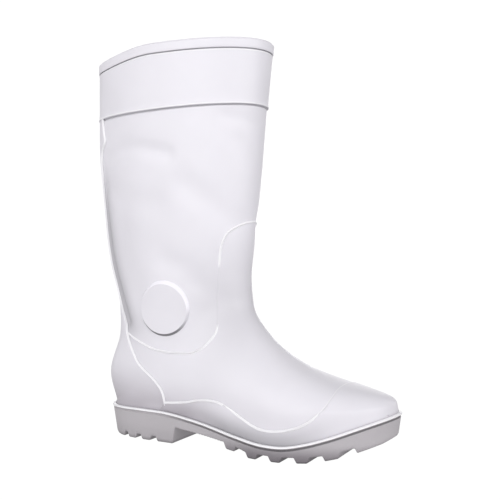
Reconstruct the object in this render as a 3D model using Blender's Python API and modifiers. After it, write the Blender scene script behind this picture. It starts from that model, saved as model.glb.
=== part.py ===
"""Safety wellington boot for the right foot, moulded in white PVC.

The boot stands on its sole: +X points to the toe, -Y to the outer side of the foot, +Z up.
Sizes and tables are in millimetres and become metres where points are made.
"""
import bmesh
import bpy
import numpy as np
from mathutils import Matrix, Vector

MM = 0.001

# Driving dimensions
FOOT = 291.0             # length of the upper where it meets the sole
WALL = 2.4               # thickness of the upper's wall
PANEL = 1.3              # how far a raised panel stands out
RIM = 2.0                # how far the rim of the collar stands out
GAP = 0.3                # clearance between neighbouring pieces
PANEL_GAP = 0.5          # clearance under a raised panel, before facets eat into it
PANEL_LIFT = 0.8         # how far a raised panel starts above the sole
COUNTER_SPARE = 20.0     # uncut length of a panel beyond the counter's edge
WELT = 4.0               # ledge of the sole outside the upper
SOLE_TAPER = 0.15        # how far the sole's side leans in, for each millimetre down
INSOLE_THICK = 4.0
INSOLE_MARGIN = WALL + 2.4
INSOLE_GAP = 0.55        # clearance under the insole, before facets eat into it
SEAT_GAP = 0.9           # the upper's inner edge hangs up to 0.6 lower than its outer edge at the heel
BAND_Z = 318.0           # lower edge of the collar band at the back
BAND_FRONT_Z = 322.5
RIM_TALL = 10.0          # height of the rim above the band
COLLAR_DIP = 7.5         # the collar's edge drops at the back, behind DIP_TO
DIP_FROM = -5.0
DIP_TO = 68.0
DISC_X = 76.0            # middle of the ankle disc
DISC_Z = 130.0
DISC_RADIUS = 27.0
SHAFT_SCALE = 100.0      # millimetres of shaft for one unit of station
OVERHANG = 1.002         # the wall bulges at least this much beyond its base
THINNEST = 0.001         # half width that a section at the toe or heel keeps

# Fineness of the meshes
FOOT_STEPS = 24
SHAFT_STEPS = 14
COLLAR_STEPS = 3
COLUMNS = 16
DISC_SEGMENTS = 28
QUARTER_POINTS = 60      # fine points on each quarter of a section
NEAR = 0.02              # stations closer than this are one
NUDGE = 0.002            # step of station for the direction of the outline
WELD = 0.02              # points closer than this are joined
SHARP = 0.6              # edges that turn more than this stay sharp, in radians

# Line where the upper meets the sole: x from the heel, half width, middle line towards the inner side
OUTLINE = (
    (0, 0, 0), (8, 20, 0), (25, 30, 0), (47, 33, -0.5), (82, 32.5, -2), (121, 32.5, -4), (160, 39.5, -4),
    (192, 46, -1), (218, 46.5, 2), (243, 43, 5), (262, 35.5, 8), (279.5, 24.5, 10), (291, 0, 11.5),
)

# Top of the sole along the foot: x, z
SEAT = (
    (-10, 29.5), (0, 29.5), (50, 30.5), (80, 29.8), (106, 26.5), (133, 22.3), (160, 17.8), (187, 14.2),
    (208, 14.4), (226, 18.2), (246, 24.6), (264, 31.3), (282, 38), (300, 44),
)

# Underside of the sole from heel to toe, before the grooves are cut: x, z
TREAD = (
    (-10, 0), (84, 0), (88, 16.5), (137, 11.7), (146, 10.5), (147.5, 4.5), (158, 3.5), (170, 0), (206, 0),
    (230, 1.5), (242, 4), (254, 6.5), (266, 10.5), (285, 17.5), (300, 26),
)

# Grooves across the sole that leave the cleats: middle x, width, depth
GROOVES = (
    (27, 5.5, 5), (43.5, 6.5, 5), (61.5, 7, 5),
    (164.5, 13, 5), (188, 13, 5), (211.5, 13, 5), (235.5, 12.5, 5), (260, 12, 5),
)

# Sections of the foot: x at the sole, x and z at the top, half width, height of the widest place as a share,
# squareness below it and above it
FOOT_ROWS = (
    (291, 290.5, 49.5, 0, 0.35, 3.0, 2.2),
    (284, 282, 55, 19, 0.35, 3.0, 2.3),
    (265, 261, 60.5, 35, 0.35, 3.0, 2.5),
    (232, 230, 69, 45.5, 0.34, 3.0, 2.5),
    (192, 203, 80, 47, 0.32, 2.8, 2.35),
    (150, 181, 96, 42, 0.32, 2.6, 2.2),
    (105, 164.5, 113, 39, 0.36, 2.4, 2.1),
    (60, 153.5, 128, 37, 0.38, 2.3, 2.1),
    (20, 151, 142, 36, 0.42, 2.2, 2.1),
)

# Sections of the shaft: x and z at the back, then the columns of the foot's sections
SHAFT_ROWS = (
    (0, 29.5, 150, 151, 36, 0.45, 2.1, 2.1),
    (-8, 56, 149.5, 162, 36.5, 0.46, 2.1, 2.1),
    (4, 97, 151, 179, 37, 0.48, 2.1, 2.1),
    (4, 127, 153, 197, 38, 0.5, 2.1, 2.1),
    (-8, 177, 156.5, 227, 40.5, 0.5, 2.15, 2.15),
    (-15, 232, 159.5, 259, 43, 0.5, 2.2, 2.2),
    (-20, 282, 162.5, 293, 44.5, 0.5, 2.2, 2.2),
    (-20.5, BAND_Z, 165, BAND_FRONT_Z, 45.2, 0.5, 2.2, 2.2),
    (-20.5, 384.5, 171, 383, 46, 0.5, 2.2, 2.2),
)

# Edge of the heel counter and of the strip above it, seen from the side: x, z
COUNTER_LINE = (
    (78, 28), (77, 40), (75, 49), (69, 56), (59, 64), (46, 73), (38, 85), (28, 103), (24, 111), (10, 135),
    (2, 161), (-3, 186), (-6, 215), (-7, 250), (-6, 275), (-3, 286), (2, 292), (0, 304), (-2, 315),
)

# Edge of the rand and of the toe cap that it runs into, seen from the side: x, z
CAP_LINE = (
    (77, 39), (90, 40.5), (104, 42.5), (116, 45.5), (129, 47), (140, 46.5), (152, 42), (165, 35.5), (176, 30),
    (186, 27), (196, 26.5), (205, 27.5), (213, 29.5), (220, 32), (227, 36), (232, 39.5), (236, 43.5),
    (240, 48), (243, 53), (245, 59), (245.5, 66), (245, 90),
)

# Colours of the pieces: base colour, roughness
WHITE_PVC = ((0.80, 0.80, 0.83), 0.32)
SOLE_PVC = ((0.74, 0.74, 0.77), 0.42)
SOCK_FOAM = ((0.62, 0.62, 0.64), 0.9)


def hermite(knots, values, at):
    """Smooth curve through the values at rising knots, read at one place."""
    knots = np.asarray(knots, float)
    values = np.asarray(values, float)
    steps = np.diff(knots)
    slopes = np.diff(values) / steps
    tangents = np.concatenate([slopes[:1], slopes])
    tangents[1:-1] = (slopes[:-1] * steps[1:] + slopes[1:] * steps[:-1]) / (steps[:-1] + steps[1:])
    i = int(np.clip(np.searchsorted(knots, at) - 1, 0, len(steps) - 1))
    u = (at - knots[i]) / steps[i]
    blend = u * u * (3 - 2 * u)
    leave = u * (1 - u) ** 2 * steps[i] * tangents[i]
    arrive = u * u * (u - 1) * steps[i] * tangents[i + 1]
    return float(values[i] * (1 - blend) + values[i + 1] * blend + leave + arrive)


def column(table, index):
    return np.array([line[index] for line in table], float)


def foot_station(x):
    """Station of a foot section: 0 at the toe, pi at the heel."""
    return float(np.arccos(np.clip(2 * x / FOOT - 1, -1, 1)))


def foot_x(station):
    return FOOT / 2 * (1 + np.cos(station))


def shaft_knots():
    """Stations of the shaft's sections, from pi at the heel upwards."""
    middles = np.array([((line[0] + line[2]) / 2, (line[1] + line[3]) / 2) for line in SHAFT_ROWS])
    steps = np.linalg.norm(np.diff(middles, axis=0), axis=1)
    return np.pi + np.concatenate([[0], np.cumsum(steps)]) / SHAFT_SCALE


SHAFT_KNOTS = shaft_knots()
FOOT_KNOTS = np.array([foot_station(line[0]) for line in FOOT_ROWS])
KNOTS = np.concatenate([FOOT_KNOTS, SHAFT_KNOTS])
SHAPE = np.vstack([np.array(FOOT_ROWS)[:, 1:], np.array(SHAFT_ROWS)[:, 2:]])
OUTLINE_KNOTS = np.array([foot_station(line[0]) for line in reversed(OUTLINE)])


def shaft_station(back_z):
    """Station whose section starts at this height on the back of the shaft."""
    return float(np.interp(back_z, column(SHAFT_ROWS, 1), SHAFT_KNOTS))


BAND = shaft_station(BAND_Z)
TOP = float(SHAFT_KNOTS[-1])
RIM_FROM = TOP - RIM_TALL / SHAFT_SCALE


def outline(station):
    """Half width and middle line of the upper where it meets the sole."""
    half = hermite(OUTLINE_KNOTS, column(OUTLINE, 1)[::-1], station)
    middle = hermite(OUTLINE_KNOTS, column(OUTLINE, 2)[::-1], station)
    return half, middle


def seat(x):
    return hermite(column(SEAT, 0), column(SEAT, 1), x)


def sole_top(x):
    return seat(x) - SEAT_GAP


def insole_bottom(x):
    return sole_top(x) + INSOLE_GAP


def insole_top(x):
    return insole_bottom(x) + INSOLE_THICK


def tread(x):
    return float(np.interp(x, column(TREAD, 0), column(TREAD, 1)))


def smooth_step(value, low, high):
    u = np.clip((value - low) / (high - low), 0, 1)
    return u * u * (3 - 2 * u)


def half_section(station):
    """Outer half of one section of the upper as fine points: x, distance from the middle line, z."""
    front_x, front_z, wide, widest, low, top = [hermite(KNOTS, SHAPE[:, i], station) for i in range(6)]
    if station <= np.pi:
        back_x = foot_x(station)
        back_z = seat(back_x)
        base, middle = outline(station)
    else:
        back_x = hermite(SHAFT_KNOTS, column(SHAFT_ROWS, 0), station)
        back_z = hermite(SHAFT_KNOTS, column(SHAFT_ROWS, 1), station)
        base, middle = 0.0, 0.0
    wide = max(wide, OVERHANG * base, THINNEST)
    end = np.pi - np.arcsin(min(1.0, (max(base, 0.0) / wide) ** (low / 2)))
    below = np.linspace(end, np.pi / 2, QUARTER_POINTS)
    above = np.linspace(np.pi / 2, 0, QUARTER_POINTS)[1:]
    drop = np.abs(np.cos(below)) ** (2 / low) / max(abs(np.cos(end)) ** (2 / low), THINNEST ** 2)
    height = np.concatenate([widest * (1 - drop), widest + (1 - widest) * np.cos(above) ** (2 / top)])
    across = wide * np.concatenate([np.sin(below) ** (2 / low), np.sin(above) ** (2 / top)])
    x = back_x + (front_x - back_x) * height
    z = back_z + (front_z - back_z) * height
    rise = np.clip((station - BAND) / (RIM_FROM - BAND), 0, 1) ** 2
    z = z - COLLAR_DIP * rise * (1 - smooth_step(x, DIP_FROM, DIP_TO))
    return np.stack([x, across, z], axis=1), middle


def arc_length(points):
    return np.concatenate([[0], np.cumsum(np.linalg.norm(np.diff(points, axis=0), axis=1))])


def half_length(station):
    """Length of the wall from the sole, or from the back, to the front."""
    return arc_length(half_section(station)[0])[-1]


def side_points(station, shares, side):
    """Points on one side of the upper, at shares of the way from the sole or back to the front."""
    points, middle = half_section(station)
    along = arc_length(points)
    x, across, z = [np.interp(shares * along[-1], along, points[:, i]) for i in range(3)]
    return np.stack([x, middle + side * across, z], axis=1)


def all_stations():
    foot = np.linspace(0, np.pi, FOOT_STEPS + 1)
    shaft = np.linspace(np.pi, BAND, SHAFT_STEPS + 1)
    collar = np.linspace(BAND, RIM_FROM, COLLAR_STEPS + 1)
    return np.concatenate([foot, shaft[1:], collar[1:], [TOP]])


STATIONS = all_stations()


def stations_between(first, last):
    """The upper's own stations inside a range, with the ends of the range."""
    inside = [s for s in STATIONS if first + NEAR < s < last - NEAR]
    return [first, *inside, last]


def add_object(name, bm, collection):
    mesh = bpy.data.meshes.new(name)
    bm.to_mesh(mesh)
    bm.free()
    mesh.shade_smooth()
    mesh.set_sharp_from_angle(angle=SHARP)
    obj = bpy.data.objects.new(name, mesh)
    collection.objects.link(obj)
    return obj


def add_strip(bm, rows, closed=False, flip=False):
    """Quads between neighbouring rows of points."""
    grid = [[bm.verts.new(Vector(point) * MM) for point in row] for row in rows]
    count = len(rows[0])
    for low, high in zip(grid, grid[1:]):
        for i in range(count if closed else count - 1):
            j = (i + 1) % count
            corners = [low[i], low[j], high[j], high[i]]
            bm.faces.new(corners[::-1] if flip else corners)


def weld(bm):
    bmesh.ops.remove_doubles(bm, verts=bm.verts, dist=WELD * MM)


def skin(name, patches, collection, sides=(-1, 1)):
    """Open surface on the upper: each patch has stations and a range of the upper's own columns."""
    bm = bmesh.new()
    for stations, first, last, lift in patches:
        for side in sides:
            rows = []
            for station in stations:
                shares = np.arange(first, last + 1) / COLUMNS
                if station <= np.pi:
                    shares = np.maximum(shares, lift / half_length(station))
                rows.append(side_points(station, shares, side))
            add_strip(bm, rows, flip=side > 0)
    weld(bm)
    return add_object(name, bm, collection)


def thicken(obj, thickness, offset):
    """Turn an open surface into a wall: offset -1 goes inwards, 1 outwards."""
    solid = obj.modifiers.new("wall", "SOLIDIFY")
    solid.thickness = thickness * MM
    solid.offset = offset
    solid.use_even_offset = True
    solid.use_quality_normals = True


def raise_panel(obj, thickness):
    """Wall that lies between two larger forms of the upper: one a gap out, one a thickness further."""
    thicken(obj, thickness, 1 + 2 * PANEL_GAP / thickness)


def cut_to(obj, cutter):
    """Keep what lies inside the cutter."""
    cut = obj.modifiers.new("outline", "BOOLEAN")
    cut.operation = "INTERSECT"
    cut.object = cutter


def add_cutter(name, bm, cutters):
    bmesh.ops.recalc_face_normals(bm, faces=bm.faces)
    cutter = add_object(name, bm, cutters)
    cutter.hide_render = True
    cutter.display_type = "WIRE"
    return cutter


def prism(name, corners, cutters):
    """Cutter with an outline seen from the side, through the whole width of the boot."""
    bm = bmesh.new()
    face = bm.faces.new([bm.verts.new(Vector((x, -FOOT / 2, z)) * MM) for x, z in corners])
    side = bmesh.ops.extrude_face_region(bm, geom=[face])["geom"]
    verts = [item for item in side if isinstance(item, bmesh.types.BMVert)]
    bmesh.ops.translate(bm, verts=verts, vec=Vector((0, FOOT, 0)) * MM)
    return add_cutter(name, bm, cutters)


def build_upper(collection):
    upper = skin("upper", [(STATIONS, 0, COLUMNS, 0)], collection)
    thicken(upper, WALL, -1)
    return upper


def build_collar(collection):
    below_rim = stations_between(BAND, RIM_FROM - GAP / SHAFT_SCALE)
    band = skin("collar_band", [(below_rim, 0, COLUMNS, 0)], collection)
    raise_panel(band, PANEL)
    rim = skin("collar_rim", [([RIM_FROM, TOP], 0, COLUMNS, 0)], collection)
    raise_panel(rim, RIM)
    return band, rim


def build_heel_counter(collection, cutters):
    front = foot_station(COUNTER_LINE[0][0] + COUNTER_SPARE)
    below_band = stations_between(front, BAND - GAP / SHAFT_SCALE)
    counter = skin("heel_counter", [(below_band, 0, COLUMNS // 2, PANEL_LIFT)], collection)
    raise_panel(counter, PANEL)
    corners = [*COUNTER_LINE, (-FOOT, COUNTER_LINE[-1][1]), (-FOOT, COUNTER_LINE[0][1])]
    cut_to(counter, prism("counter_outline", corners, cutters))
    return counter


def build_toe_cap(collection, cutters):
    shoulder = STATIONS[np.searchsorted(STATIONS, foot_station(CAP_LINE[-1][0]))]
    cap = stations_between(0.0, shoulder)
    rand = stations_between(shoulder, foot_station(COUNTER_LINE[0][0] - COUNTER_SPARE))
    patches = [(cap, 0, COLUMNS, PANEL_LIFT), (rand, 0, COLUMNS // 2, PANEL_LIFT)]
    toe_cap = skin("toe_cap", patches, collection)
    raise_panel(toe_cap, PANEL)
    heel_edge = [(x + 2 * GAP, z) for x, z in COUNTER_LINE[:2]]
    corners = [*heel_edge, *CAP_LINE[1:], (2 * FOOT, CAP_LINE[-1][1]), (2 * FOOT, 0), (heel_edge[0][0], 0)]
    cut_to(toe_cap, prism("cap_outline", corners, cutters))
    return toe_cap


def build_ankle_disc(name, side, collection, cutters):
    """Round pad on one side of the ankle."""
    around = [s for s in STATIONS if foot_station(DISC_X) < s < shaft_station(DISC_Z + 2 * DISC_RADIUS)]
    disc = skin(name, [(around, COLUMNS // 8, COLUMNS - COLUMNS // 8, 0)], collection, sides=(side,))
    raise_panel(disc, PANEL)
    bm = bmesh.new()
    bmesh.ops.create_cone(
        bm, cap_ends=True, segments=DISC_SEGMENTS, radius1=DISC_RADIUS * MM, radius2=DISC_RADIUS * MM,
        depth=FOOT * MM, matrix=Matrix.Rotation(np.pi / 2, 4, "X"))
    bmesh.ops.translate(bm, verts=bm.verts, vec=Vector((DISC_X, side * FOOT / 2, DISC_Z)) * MM)
    cut_to(disc, add_cutter(name + "_outline", bm, cutters))
    return disc


def sole_edge(station, margin, side):
    """Point on the sole's outline, a margin outside the line where upper and sole meet."""
    ends = []
    for angle in (station - NUDGE, station + NUDGE, station):
        half, middle = outline(min(max(abs(angle), 0), 2 * np.pi - abs(angle)))
        turn = side if np.sin(angle) >= 0 else -side
        ends.append(np.array([foot_x(angle), middle + turn * half]))
    along = ends[1] - ends[0]
    normal = side * np.array([along[1], -along[0]]) / np.linalg.norm(along)
    return ends[2] + margin * normal


def slab(name, stations, margin, top, bottom, taper, collection):
    """Solid between two heights inside an outline that keeps a margin to the upper's own."""
    bm = bmesh.new()
    rows = []
    for station in stations:
        x = foot_x(station)
        depth = top(x) - bottom(x)
        corners = [(margin, -1, top(x)), (margin, 1, top(x))]
        corners += [(margin - taper * depth, 1, bottom(x)), (margin - taper * depth, -1, bottom(x))]
        rows.append([(*sole_edge(station, out, side), z) for out, side, z in corners])
    add_strip(bm, rows, closed=True)
    weld(bm)
    bmesh.ops.recalc_face_normals(bm, faces=bm.faces)
    return add_object(name, bm, collection)


def build_outsole(collection, cutters):
    breaks = np.array([foot_station(x) for x, z in TREAD if 0 < x < FOOT])
    others = [s for s in STATIONS if s <= np.pi and min(abs(s - breaks)) > NEAR]
    stations = sorted([*breaks, *others])
    sole = slab("outsole", stations, WELT, sole_top, tread, SOLE_TAPER, collection)
    grooves = build_grooves(cutters)
    cut = sole.modifiers.new("grooves", "BOOLEAN")
    cut.operation = "DIFFERENCE"
    cut.object = grooves
    return sole


def build_grooves(cutters):
    """Bars across the underside, each turned to the slope of the tread."""
    bm = bmesh.new()
    for x, width, depth in GROOVES:
        slope = np.arctan2(tread(x + width / 2) - tread(x - width / 2), width)
        place = Matrix.Translation(Vector((x, 0, tread(x))) * MM) @ Matrix.Rotation(-slope, 4, "Y")
        size = Matrix.Diagonal(Vector((width * MM, FOOT * MM, 2 * depth * MM, 1)))
        bmesh.ops.create_cube(bm, size=1, matrix=place @ size)
    return add_cutter("tread_grooves", bm, cutters)


def build_insole(collection):
    stations = [s for s in STATIONS if s <= np.pi]
    return slab("insole", stations, -INSOLE_MARGIN, insole_top, insole_bottom, 0, collection)


def add_material(obj, finish):
    colour, roughness = finish
    material = bpy.data.materials.new(obj.name)
    material.use_nodes = True
    shader = material.node_tree.nodes["Principled BSDF"]
    shader.inputs["Base Color"].default_value = (*colour, 1)
    shader.inputs["Roughness"].default_value = roughness
    shader.inputs["Metallic"].default_value = 0
    obj.data.materials.append(material)


def stand_on_origin(frame, parts):
    """Put the middle of the boot's footprint on the origin."""
    bpy.context.view_layer.update()
    depsgraph = bpy.context.evaluated_depsgraph_get()
    corners = [Vector(corner) for part in parts for corner in part.evaluated_get(depsgraph).bound_box]
    for axis in (0, 1):
        places = [corner[axis] for corner in corners]
        frame.location[axis] = -(min(places) + max(places)) / 2


def main():
    for obj in list(bpy.data.objects):
        bpy.data.objects.remove(obj, do_unlink=True)
    boot = bpy.data.collections.new("safety_wellington_boot")
    cutters = bpy.data.collections.new("cutters")
    for collection in (boot, cutters):
        bpy.context.scene.collection.children.link(collection)
    frame = bpy.data.objects.new("boot_frame", None)
    boot.objects.link(frame)

    white = [
        build_upper(boot),
        *build_collar(boot),
        build_heel_counter(boot, cutters),
        build_toe_cap(boot, cutters),
        build_ankle_disc("ankle_disc_outer", -1, boot, cutters),
        build_ankle_disc("ankle_disc_inner", 1, boot, cutters),
    ]
    sole = build_outsole(boot, cutters)
    insole = build_insole(boot)
    for obj in white:
        add_material(obj, WHITE_PVC)
    add_material(sole, SOLE_PVC)
    add_material(insole, SOCK_FOAM)

    parts = [*white, sole, insole]
    for obj in [*parts, *cutters.objects]:
        obj.parent = frame
    stand_on_origin(frame, parts)


main()
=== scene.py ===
"""Looks of a white PVC safety wellington for the right foot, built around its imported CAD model.

Sizes are in millimetres in the boot's own frame: x from the back of the heel towards the toe,
-y the outer side, z up from the floor. place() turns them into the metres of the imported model.
"""

import bmesh
import bpy
import numpy as np
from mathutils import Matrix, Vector
from mathutils.bvhtree import BVHTree


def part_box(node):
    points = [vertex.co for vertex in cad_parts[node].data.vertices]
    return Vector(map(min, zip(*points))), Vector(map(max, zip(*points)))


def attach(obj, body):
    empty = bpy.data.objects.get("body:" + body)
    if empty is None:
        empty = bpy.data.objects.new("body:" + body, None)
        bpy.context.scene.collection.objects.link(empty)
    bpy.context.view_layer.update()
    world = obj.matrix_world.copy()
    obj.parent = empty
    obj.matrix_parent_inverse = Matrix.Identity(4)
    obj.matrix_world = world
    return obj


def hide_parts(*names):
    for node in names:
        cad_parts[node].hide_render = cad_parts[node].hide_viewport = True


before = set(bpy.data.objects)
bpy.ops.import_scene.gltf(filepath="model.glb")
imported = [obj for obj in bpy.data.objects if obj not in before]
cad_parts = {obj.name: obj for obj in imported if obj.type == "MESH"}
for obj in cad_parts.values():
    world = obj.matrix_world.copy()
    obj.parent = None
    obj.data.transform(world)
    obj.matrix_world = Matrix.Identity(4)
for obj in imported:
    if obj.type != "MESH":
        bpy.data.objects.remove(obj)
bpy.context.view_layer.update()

MM = 0.001
TINY = 1e-9

# Driving dimensions, as in the CAD model
FOOT = 291.0  # length of the upper where it meets the sole
WALL = 2.4  # thickness of the upper's wall
WELT = 4.0  # ledge of the sole outside the upper
SOLE_TAPER = 0.15  # lean of the sole's side for each millimetre down
INSOLE_THICK = 4.0
INSOLE_MARGIN = WALL + 2.4
BAND_Z = 318.0  # lower edge of the collar band at the back
BAND_FRONT_Z = 322.5
RIM_TALL = 10.0  # height of the rim above the band
COLLAR_DIP = 7.5  # drop of the collar's edge at the back, which fades along DIP_X
DIP_X = (-5, 68)
DISC_X = 76.0  # middle of the ankle disc
DISC_Z = 130.0
DISC_RADIUS = 27.0
SHAFT_SCALE = 100.0  # millimetres of shaft for one unit of station
OVERHANG = 1.002  # least width of a section's widest place, in widths of its base
THINNEST = 0.001  # least half width of a section
LEAST_DROP = 1e-6

# Relief of the mouldings
PANEL = 1.1  # how far counter, rand and toe cap stand out
PANEL_ROOT = 0.8  # how deep they reach into the wall
SKIRT = 3.0  # how far they reach below the line of the sole
CAP_THINNER = 0.6  # share that the toe cap loses upwards, between two heights
CAP_THINNER_Z = (38, 56)
SEAM_DEEP = 1.1  # groove in the shaft under the collar band
SEAM_TALL = 1.4
BEAD_ROOT = 0.9  # how deep a bead reaches into the wall
BEAD_ROOT_WIDE = 0.6  # width of that root, as a share of the bead
BEAD_SUNK = -0.4  # height of a bead that doesn't show
BEAD_SINK = 0.05  # how deep a bead's edges lie under the surface

# Beads on the edges of panels: half width, rise above the sunk height, height of their middle line
COUNTER_BEAD = (1.3, 2.1, 0.3)
RAND_BEAD = (1.5, 2.2, 0.25)
CAP_SEAM = (0.9, 0.8, 0.25)
COUNTER_BEAD_RISE = 14.0  # length of its rise from the sole
RAND_BEAD_Z = (34, 48)  # where the rand's bead turns into the cap's seam

# Fineness of the meshes
ROW_STEP = 2.0  # mean distance of the upper's rows
FINE_STATIONS = 300
LOW_COLUMNS = 36  # columns of the upper below and above its widest place, on each side
HIGH_COLUMNS = 44
QUARTER_POINTS = 60  # fine points on each quarter of a section
LINE_POINTS = 60  # fine points for each given point of a line
LINE_STEP = 1.2  # spacing of points along a bead or the edge of a panel
BEAD_COLUMNS = 11
CLOSE_ROWS = (-4, 2.25, 0.5)  # close rows at the groove under the band: from, to, step
CLOSE_GAP = 1.0
STATION_STEP = 1e-4  # least step between the stations along an edge
TOE_GAP = 0.004  # gap in station between the cap's edge and its rows over the toe
SECTION_SLACK = 0.2  # share by which a point may lie beyond a section's ends
WELD = 0.01  # distance at which points are joined
SHARP_ANGLE = 50.0
OUTLINE_NUDGE = 0.002  # step in station for the outline's direction

# Smoothing
RELAX = 0.5  # step of one round, and the step back that keeps the size
RELAX_BACK = -0.505
FAIR_ROUNDS = 60
ANKLE_ROUNDS = 160
ANKLE_ROWS = 20.0  # reach of the bend between foot and shaft, in rows
ANKLE_SHARE = (0.1, 0.45)  # from back to front, where it begins and is full
ANKLE_FRONT = 0.85  # it is held back in front of this share
ANKLE_HELD = 0.7
EDGE_ROUNDS = 4  # along a panel's edge, along a line on the wall and for its directions
PLACE_ROUNDS = 2
NORMAL_ROUNDS = 6

# Line where the upper meets the sole: x from the heel, half width, middle line towards the inner side
OUTLINE = (
    (0, 0, 0), (8, 20, 0), (25, 30, 0), (47, 33, -0.5), (82, 32.5, -2), (121, 32.5, -4), (160, 39.5, -4),
    (192, 46, -1), (218, 46.5, 2), (243, 43, 5), (262, 35.5, 8), (279.5, 24.5, 10), (291, 0, 11.5),
)

# Top of the sole along the foot: x, z
SEAT = (
    (-10, 29.5), (0, 29.5), (50, 30.5), (80, 29.8), (106, 26.5), (133, 22.3), (160, 17.8), (187, 14.2),
    (208, 14.4), (226, 18.2), (246, 24.6), (264, 31.3), (282, 38), (300, 44),
)

# Underside of the sole from heel to toe, before the grooves are cut: x, z
TREAD = (
    (-10, 0), (84, 0), (88, 16.5), (137, 11.7), (146, 10.5), (147.5, 4.5), (158, 3.5), (170, 0), (206, 0),
    (230, 1.5), (242, 4), (254, 6.5), (266, 10.5), (285, 17.5), (300, 26),
)

# Grooves across the sole that leave the cleats: middle x, width, depth
GROOVES = (
    (27, 5.5, 5), (43.5, 6.5, 5), (61.5, 7, 5),
    (164.5, 13, 5), (188, 13, 5), (211.5, 13, 5), (235.5, 12.5, 5), (260, 12, 5),
)

# Sections of the foot: x at the sole, x and z at the top, half width, height of the widest place as a share,
# squareness below it and above it
FOOT_ROWS = (
    (291, 290.5, 49.5, 0, 0.35, 3.0, 2.2),
    (284, 282, 55, 19, 0.35, 3.0, 2.3),
    (265, 261, 60.5, 35, 0.35, 3.0, 2.5),
    (232, 230, 69, 45.5, 0.34, 3.0, 2.5),
    (192, 203, 80, 47, 0.32, 2.8, 2.35),
    (150, 181, 96, 42, 0.32, 2.6, 2.2),
    (105, 164.5, 113, 39, 0.36, 2.4, 2.1),
    (60, 153.5, 128, 37, 0.38, 2.3, 2.1),
    (20, 151, 142, 36, 0.42, 2.2, 2.1),
)

# Sections of the shaft: x and z at the back, then the columns of the foot's sections
SHAFT_ROWS = (
    (0, 29.5, 150, 151, 36, 0.45, 2.1, 2.1),
    (-8, 56, 149.5, 162, 36.5, 0.46, 2.1, 2.1),
    (4, 97, 151, 179, 37, 0.48, 2.1, 2.1),
    (4, 127, 153, 197, 38, 0.5, 2.1, 2.1),
    (-8, 177, 156.5, 227, 40.5, 0.5, 2.15, 2.15),
    (-15, 232, 159.5, 259, 43, 0.5, 2.2, 2.2),
    (-20, 282, 162.5, 293, 44.5, 0.5, 2.2, 2.2),
    (-20.5, BAND_Z, 165, BAND_FRONT_Z, 45.2, 0.5, 2.2, 2.2),
    (-20.5, 384.5, 171, 383, 46, 0.5, 2.2, 2.2),
)

# Edge of the heel counter and of the strip above it, seen from the side: x, z
COUNTER_LINE = (
    (78, 28), (77, 40), (75, 49), (69, 56), (59, 64), (46, 73), (38, 85), (28, 103), (24, 111), (10, 135),
    (2, 161), (-3, 186), (-6, 215), (-7, 250), (-6, 275), (-3, 286), (2, 292), (0, 304), (-2, 316),
)

# Edge of the rand and of the toe cap that it runs into, seen from the side: x, z
CAP_LINE = (
    (77, 39), (90, 40.5), (104, 42.5), (116, 45.5), (129, 47), (140, 46.5), (152, 42), (165, 35.5),
    (176, 30), (186, 27), (196, 26.5), (205, 27.5), (213, 29.5), (220, 32), (227, 36), (232, 39.5),
    (236, 43.5), (240, 48), (243, 53), (245, 59), (245.5, 66), (245, 90),
)

# Raised line from the shin down and under the ankle disc to the heel, on the outer side: x, y, z
SHIN_LINE = (
    (155, 0, 213), (152.5, -11.5, 211.5), (147.5, -18, 208.5), (140, -24, 203), (135, -26, 194.5),
    (133, -26.5, 187), (131.5, -26, 175), (130, -25.5, 157), (129, -26, 139), (130, -28, 122),
    (130, -30, 107.5), (126, -32, 102), (119.5, -34.5, 95), (110, -35.5, 89.5), (98, -35.5, 88),
    (79, -35.5, 88), (62, -36, 90.5), (45.5, -35.5, 96.5), (28, -31, 104),
)

# Height of the raised line along it: share of its length, height; it is sunk beside the ankle
SHIN_RELIEF = (
    (0, 1.1), (0.18, 1.1), (0.26, 0.3), (0.31, -0.4), (0.46, -0.4), (0.51, 0.3), (0.58, 1.1), (1, 1.25),
)
SHIN_WIDE = 1.25  # half width of the line
SHIN_END = 6.0  # length over which it ends at the heel
SHIN_SEAM_WIDE = 0.8  # half width and height of the faint seam under it
SHIN_SEAM_HIGH = 0.3
SHIN_ROUNDS = 16

# Edge where the top of the toe cap turns down into its side: x, distance from the middle line, z
TOE_EDGE = ((238, 43.2, 45), (253.4, 39.2, 46), (267, 33, 47.1), (280, 22, 48.5), (289, 8, 49), (291, 0, 49))
TOE_EDGE_HIGH = 0.7
TOE_EDGE_WIDE = 3.5
TOE_EDGE_ROUND = 0.8

# Valley beside the strip that runs up the back, seen from the side: x, z
STRIP_VALLEY = ((-3, 268), (-2, 250), (-2, 232), (0, 215), (4, 184), (9, 160), (17, 136), (29, 114))

# Folds and dents of the upper: side (0 for both), half width, depth (below 0 for a ridge), x and z along it
FOLDS = (
    (0, 9, -2.2, ((11, 236), (14, 214), (18, 186), (24, 161), (33, 138), (44, 118))),
    (0, 5, 1.0, STRIP_VALLEY),
    (0, 4.5, 1.1, STRIP_VALLEY[1:]),
    (0, 4.5, 1.1, STRIP_VALLEY[2:]),
    (-1, 8, 1.8, ((8, 277), (28, 284), (47, 286), (84, 278))),
    (-1, 7, 1.2, ((140, 311), (155, 308), (167, 300))),
    (-1, 8, 1.0, ((152, 288), (160, 274), (164, 266))),
    (-1, 13, 1.7, ((104, 246), (126, 230), (146, 212))),
    (-1, 12, 1.5, ((80, 176), (94, 170), (110, 162))),
    (-1, 10, 1.2, ((106, 153), (132, 142))),
    (-1, 12, 1.4, ((126, 128), (148, 136))),
    (-1, 14, 1.2, ((20, 238), (70, 230))),
    (1, 8, 1.6, ((8, 283), (28, 290), (52, 288))),
    (1, 12, 1.6, ((88, 230), (118, 220), (150, 214))),
    (1, 11, 1.4, ((44, 172), (80, 160), (112, 154))),
)
FOLD_TURN = 0.5  # a fold is full where the wall turns this much to its side

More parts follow.
